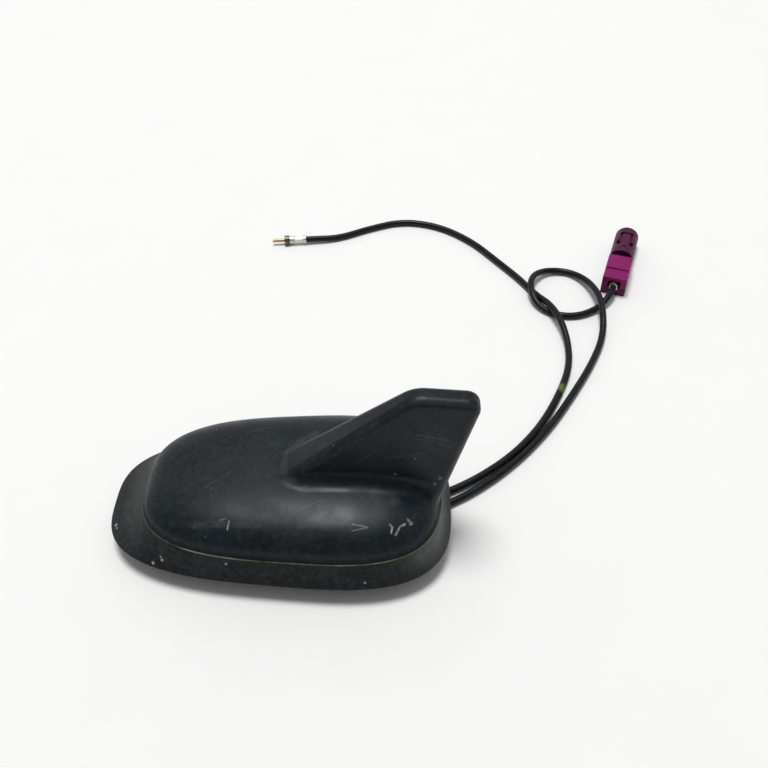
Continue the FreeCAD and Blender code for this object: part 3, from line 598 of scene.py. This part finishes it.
def skirt_dust(paint, along, height, tail):
    """Dust on the tail and the nose, mostly on the upper part, and a thin film elsewhere."""
    nose = paint.span(along, NOSE, 0.0, NOSE_SHARE)
    upper = paint.span(height, DUST_HEIGHTS, 0.3, 1.0)
    cloud = paint.ramp(paint.noise(110, 8, 0.65), 0.28, 0.75)
    patches = paint.ramp(paint.noise(80, 9, 0.65), 0.25, 0.8, 0.4, 1.0)
    dusty = paint.most(paint.times(paint.most(tail, nose), upper), paint.times(cloud, CLOUD_SHARE))
    return paint.times(dusty, patches)


def seam_dirt(paint, along, height, tail):
    """Dirt in the seam below the cover, and in a band under it at the tail."""
    seam = paint.times(paint.span(height, LEDGE_HEIGHTS), paint.span(along, SEAM_FRONT, 0.12, 1.0))
    band = paint.times(paint.span(height, BAND_HEIGHTS), tail, BAND_SHARE)
    return paint.times(paint.most(seam, band), paint.ramp(paint.noise(130, 6, 0.6), 0.25, 0.6))


def skirt_paint():
    paint = Paint("skirt_rubber", 0.6, specular=0.15)
    along = paint.part(paint.place, "X")
    height = paint.part(paint.place, "Z")
    tail = paint.span(along, TAIL)
    tone = paint.ramp(paint.noise(35, 6, 0.6), 0.3, 0.7)
    colour = paint.blend(tone, SKIRT_DARK, SKIRT_LIGHT)
    for dust in (skirt_dust(paint, along, height, tail), mottle(paint, SKIRT_MOTTLE)):
        colour = paint.blend(dust, colour, SKIRT_DUST)
    dirt_colour = paint.blend(paint.ramp(paint.noise(48, 5), 0.42, 0.62), SEAM_DIRT, SEAM_PALE)
    colour = paint.blend(seam_dirt(paint, along, height, tail), colour, dirt_colour)
    marks = paint.times(paint.specks(210, 0.12, 0.08), STRAY_SPECKS)
    for centre, radius in SKIRT_SPECKS:
        speck = paint.spot(mm(*centre), radius * MM, SKIRT_SPECK_CORE)
        marks = paint.most(marks, paint.times(speck, SPECK_SHARE))
    colour = paint.blend(marks, colour, SCRATCH)
    grain = paint.bump(paint.noise(1800, 4), SKIRT_GRAIN, 0.5)
    roughness = paint.ramp(paint.noise(80, 5), 0.3, 0.7, 0.5, 0.72)
    return paint.done(colour, grain, roughness)


# Leads' jacket, with the green paint mark on the GPS lead

JACKET_DARK = (0.0022, 0.0040, 0.0048)
JACKET_LIGHT = (0.0056, 0.0086, 0.0096)
JACKET_DUST_SHARE = 0.16
JACKET_GRAIN = 0.04 * MM
MARK_COLOUR = (0.11, 0.15, 0.03)
MARK_PLACE = (115.4, 71.3, 2.3)
MARK_RADIUS = 3.6
MARK_CORE = 0.55


def lead_paint():
    paint = Paint("lead_jacket", 0.36, specular=0.24)
    tone = paint.ramp(paint.noise(120, 5), 0.35, 0.7)
    colour = paint.blend(tone, JACKET_DARK, JACKET_LIGHT)
    dust = paint.times(paint.ramp(paint.noise(420, 6), 0.62, 0.8), JACKET_DUST_SHARE)
    colour = paint.blend(dust, colour, COVER_DUST)
    dab = paint.spot(mm(*MARK_PLACE), MARK_RADIUS * MM, MARK_CORE)
    mark = paint.times(dab, paint.ramp(paint.noise(500, 3), 0.3, 0.5))
    colour = paint.blend(mark, colour, MARK_COLOUR)
    grain = paint.bump(paint.noise(900, 3), JACKET_GRAIN, 0.4)
    return paint.done(colour, grain, paint.ramp(paint.noise(200, 4), 0.3, 0.7, 0.3, 0.46))


# Plain finishes: moulded ones and metals

MOULDED_GRAIN = 0.02 * MM
METAL_DENTS = 0.03 * MM
PLUG_DUST = (0.30, 0.24, 0.25)
# Dark tone, light tone, dust, how much of it, and roughness
MOULDED = {
    "seal_foam": ((0.016, 0.016, 0.017), (0.035, 0.035, 0.035), COVER_DUST, 0.3, 0.85),
    "gland_rubber": ((0.010, 0.010, 0.011), (0.02, 0.02, 0.021), COVER_DUST, 0.2, 0.6),
    "board_laminate": ((0.02, 0.12, 0.05), (0.04, 0.18, 0.08), COVER_DUST, 0.1, 0.4),
    "patch_ceramic": ((0.52, 0.46, 0.36), (0.66, 0.60, 0.50), COVER_DUST, 0.1, 0.5),
    "clip_plastic": ((0.62, 0.60, 0.55), (0.74, 0.72, 0.68), COVER_DUST, 0.1, 0.5),
    # The housing and the lock are one plastic: the housing's darker tone is painted shade with some fading,
    # and the lock's brighter magenta is painted light
    "plug_plastic": ((0.056, 0.0015, 0.030), (0.088, 0.003, 0.046), PLUG_DUST, 0.06, 0.46),
    "lock_plastic": ((0.19, 0.001, 0.098), (0.245, 0.002, 0.128), PLUG_DUST, 0.015, 0.42),
    "insulator_plastic": ((0.75, 0.75, 0.71), (0.85, 0.85, 0.82), COVER_DUST, 0.1, 0.45),
}
# Dark tone, light tone, roughness, and scale of the tones' pattern
METALS = {
    "base_metal": ((0.42, 0.42, 0.41), (0.60, 0.60, 0.58), 0.5, 300),
    "tinned_steel": ((0.50, 0.50, 0.48), (0.66, 0.66, 0.64), 0.35, 300),
    "contact_brass": ((0.34, 0.27, 0.12), (0.52, 0.42, 0.22), 0.42, 600),
    "screw_steel": ((0.42, 0.42, 0.43), (0.58, 0.58, 0.58), 0.4, 500),
    "ferrule_metal": ((0.60, 0.59, 0.54), (0.82, 0.81, 0.75), 0.52, 700),
    "collar_metal": ((0.10, 0.09, 0.07), (0.20, 0.18, 0.14), 0.42, 700),
}


def moulded_paint(name, dark, light, dust, amount, roughness):
    paint = Paint(name, roughness, specular=0.22)
    colour = paint.blend(paint.ramp(paint.noise(160, 4), 0.3, 0.7), dark, light)
    film = paint.times(paint.ramp(paint.noise(480, 7, 0.65), 0.42, 0.75), amount)
    colour = paint.blend(film, colour, dust)
    grain = paint.bump(paint.noise(3200, 3), MOULDED_GRAIN, 0.4)
    uneven = paint.ramp(paint.noise(300, 4), 0.3, 0.7, roughness - 0.08, roughness + 0.1)
    return paint.done(colour, grain, uneven)


def metal_paint(name, dark, light, roughness, scale):
    paint = Paint(name, roughness, metallic=1.0)
    colour = paint.blend(paint.ramp(paint.noise(scale, 5), 0.3, 0.7), dark, light)
    dents = paint.bump(paint.noise(3 * scale, 4), METAL_DENTS, 0.6)
    uneven = paint.ramp(paint.noise(2 * scale, 4), 0.3, 0.7, roughness - 0.1, roughness + 0.12)
    return paint.done(colour, dents, uneven)


def dress():
    """Gives each CAD node the finish of its slot, and returns the finishes by slot."""
    paints = {"cover_plastic": cover_paint(), "skirt_rubber": skirt_paint(), "lead_jacket": lead_paint()}
    for slot, look in MOULDED.items():
        paints[slot] = moulded_paint(slot, *look)
    for slot, look in METALS.items():
        paints[slot] = metal_paint(slot, *look)
    for row in frame["record"]["subparts"]:
        mesh = NODES[row["node"]].data
        mesh.materials.clear()
        mesh.materials.append(paints[row["material_slot"]])
    return paints


# Stage and light

FLOOR_SIDE = 30.0
FLOOR_DARK = (0.90, 0.90, 0.895)
FLOOR_LIGHT = (0.93, 0.93, 0.925)
LAMP_PLACE = Vector((-0.2, 0.58, 3.4))
LAMP_TARGET = Vector((0.03, 0.0, 0.03))
LAMP_WIDTH = 1.3
LAMP_POWER = 83.0
# The surroundings are brighter behind the part than on the camera's side
WORLD_FADE = {"From Min": -0.8, "From Max": 0.8, "To Min": 0.15, "To Max": 0.6}
WORLD_COLOUR = (1.0, 1.0, 1.0, 1.0)


def make_floor():
    mesh = bpy.data.meshes.new("floor")
    form = bmesh.new()
    bmesh.ops.create_grid(form, x_segments=1, y_segments=1, size=FLOOR_SIDE / 2)
    form.to_mesh(mesh)
    form.free()
    floor = bpy.data.objects.new("floor", mesh)
    bpy.context.scene.collection.objects.link(floor)
    paint = Paint("floor_white", 0.8, specular=0.1)
    tone = paint.blend(paint.noise(30, 6), FLOOR_DARK, FLOOR_LIGHT)
    mesh.materials.append(paint.done(tone))


def make_lamp():
    lamp = bpy.data.lights.new("ceiling", "AREA")
    lamp.shape = "DISK"
    lamp.size = LAMP_WIDTH
    lamp.energy = LAMP_POWER
    light = bpy.data.objects.new("ceiling", lamp)
    light.location = LAMP_PLACE
    light.rotation_mode = "QUATERNION"
    light.rotation_quaternion = (LAMP_TARGET - LAMP_PLACE).to_track_quat("-Z", "Y")
    bpy.context.scene.collection.objects.link(light)


def make_world():
    world = bpy.data.worlds.new("studio")
    bpy.context.scene.world = world
    world.use_nodes = True
    nodes = world.node_tree.nodes
    links = world.node_tree.links
    background = nodes["Background"]
    background.inputs["Color"].default_value = WORLD_COLOUR
    way = nodes.new("ShaderNodeTexCoord").outputs["Generated"]
    parts = nodes.new("ShaderNodeSeparateXYZ")
    links.new(way, parts.inputs[0])
    fade = nodes.new("ShaderNodeMapRange")
    links.new(parts.outputs["Y"], fade.inputs["Value"])
    for name, number in WORLD_FADE.items():
        fade.inputs[name].default_value = number
    links.new(fade.outputs["Result"], background.inputs["Strength"])


make_camera()
sleeve = make_sleeve()
phone_cord, gps_cord = make_leads()
paints = dress()
for cord in (phone_cord, gps_cord):
    cord.data.materials.append(paints["lead_jacket"])
sleeve.data.materials.append(paints["ferrule_metal"])
make_thread().data.materials.append(paints["base_metal"])
make_floor()
make_lamp()
make_world()
bpy.context.scene.view_settings.view_transform = "Standard"
